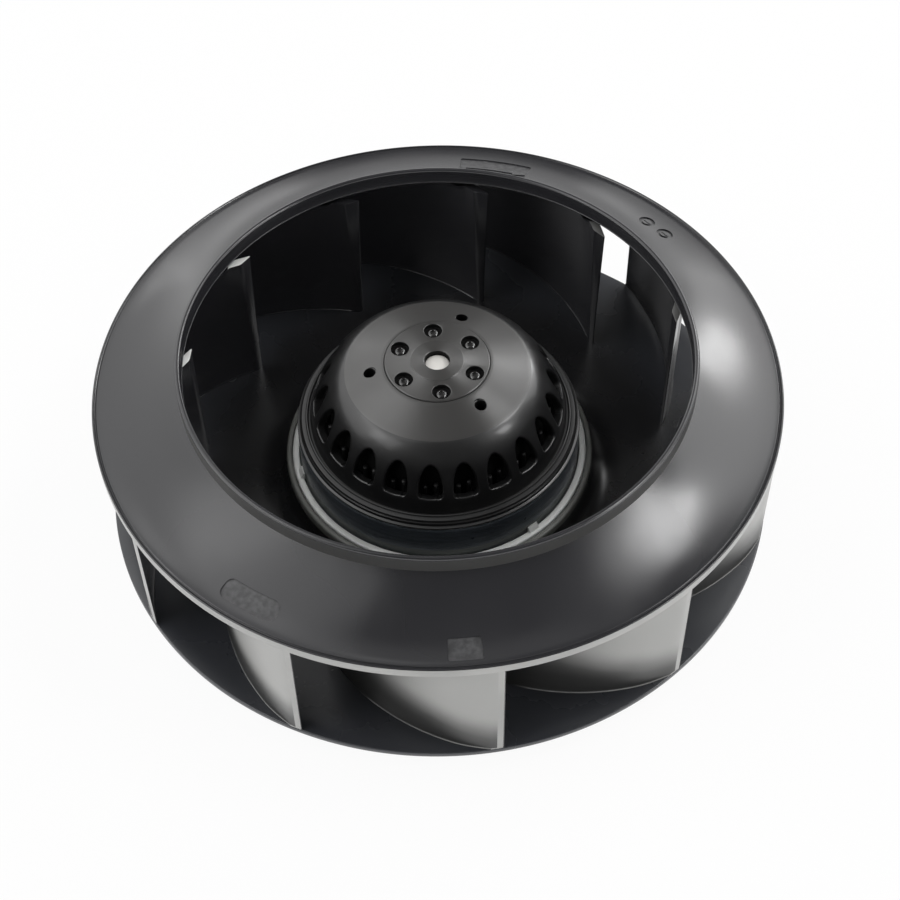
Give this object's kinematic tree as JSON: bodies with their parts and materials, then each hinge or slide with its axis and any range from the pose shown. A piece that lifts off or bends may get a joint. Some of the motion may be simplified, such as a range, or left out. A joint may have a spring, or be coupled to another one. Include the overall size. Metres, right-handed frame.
{
  "type": "plug fan",
  "caption": "Single-inlet centrifugal plug fan: backward-curved impeller with shroud and backplate on an external-rotor motor with a mounting flange.",
  "frame": {"origin": "on the fan's axis, in the mounting face of the stator flange, which is the lowest plane", "axes": "+Z runs along the fan's axis out of the inlet; X and Y lie across, and the picture looks from -Y"},
  "size_m": [0.22, 0.22, 0.071],
  "materials": {
    "impeller_plastic": "satin moulded",
    "black_paint": "satin paint on die-cast metal",
    "plated_steel": "zinc plated",
    "bright_steel": "ground",
    "rotor_steel": "blued lamination edges",
    "stator_steel": "lamination edges",
    "cast_aluminium": "die-cast",
    "copper_winding": "enamelled wire with lacquer",
    "insulator_plastic": "moulded",
    "black_plastic": "moulded",
    "rubber": "moulded",
    "ball_cage": "pressed"
  },
  "bodies": {
    "stator": {"stator_flange": "cast_aluminium", "stator_stack": "stator_steel", "upper_insulator": "insulator_plastic", "lower_insulator": "insulator_plastic", "stator_winding": "copper_winding", "thermal_protector": "black_plastic", "cable_grommet": "rubber", "bearing_cap": "plated_steel", "wave_spring": "plated_steel", "lower_bearing_outer_ring": "bright_steel", "upper_bearing_outer_ring": "bright_steel"},
    "rotor": {"impeller_shroud": "impeller_plastic", "impeller_backplate": "impeller_plastic", "blade_01": "impeller_plastic", "blade_02": "impeller_plastic", "blade_03": "impeller_plastic", "blade_04": "impeller_plastic", "blade_05": "impeller_plastic", "blade_06": "impeller_plastic", "blade_07": "impeller_plastic", "blade_08": "impeller_plastic", "blade_09": "impeller_plastic", "blade_10": "impeller_plastic", "blade_11": "impeller_plastic", "hub_seat_ring": "plated_steel", "rotor_bell": "black_paint", "rotor_hub": "black_paint", "hub_rivet_1": "bright_steel", "hub_rivet_2": "bright_steel", "hub_rivet_3": "bright_steel", "hub_rivet_4": "bright_steel", "hub_rivet_5": "bright_steel", "hub_rivet_6": "bright_steel", "rotor_laminations": "rotor_steel", "rotor_cage_ring": "cast_aluminium", "rotor_shaft": "bright_steel", "retaining_ring": "plated_steel", "lower_bearing_inner_ring": "bright_steel", "upper_bearing_inner_ring": "bright_steel"},
    "lower_cage": {"lower_ball_cage": "ball_cage"},
    "upper_cage": {"upper_ball_cage": "ball_cage"}
  },
  "joints": [
    {"name": "impeller_spin", "type": "hinge", "parent": "stator", "child": "rotor", "pos_m": [0, 0, 0.035], "axis": [0, 0, 1], "continuous": true},
    {"name": "lower_cage_spin", "type": "hinge", "parent": "stator", "child": "lower_cage", "pos_m": [0, 0, 0.0088], "axis": [0, 0, 1], "continuous": true},
    {"name": "upper_cage_spin", "type": "hinge", "parent": "stator", "child": "upper_cage", "pos_m": [0, 0, 0.0473], "axis": [0, 0, 1], "continuous": true}
  ],
  "couplings": [
    {"joint": "lower_cage_spin", "follows": "impeller_spin", "ratio": 0.377},
    {"joint": "upper_cage_spin", "follows": "impeller_spin", "ratio": 0.377}
  ]
}
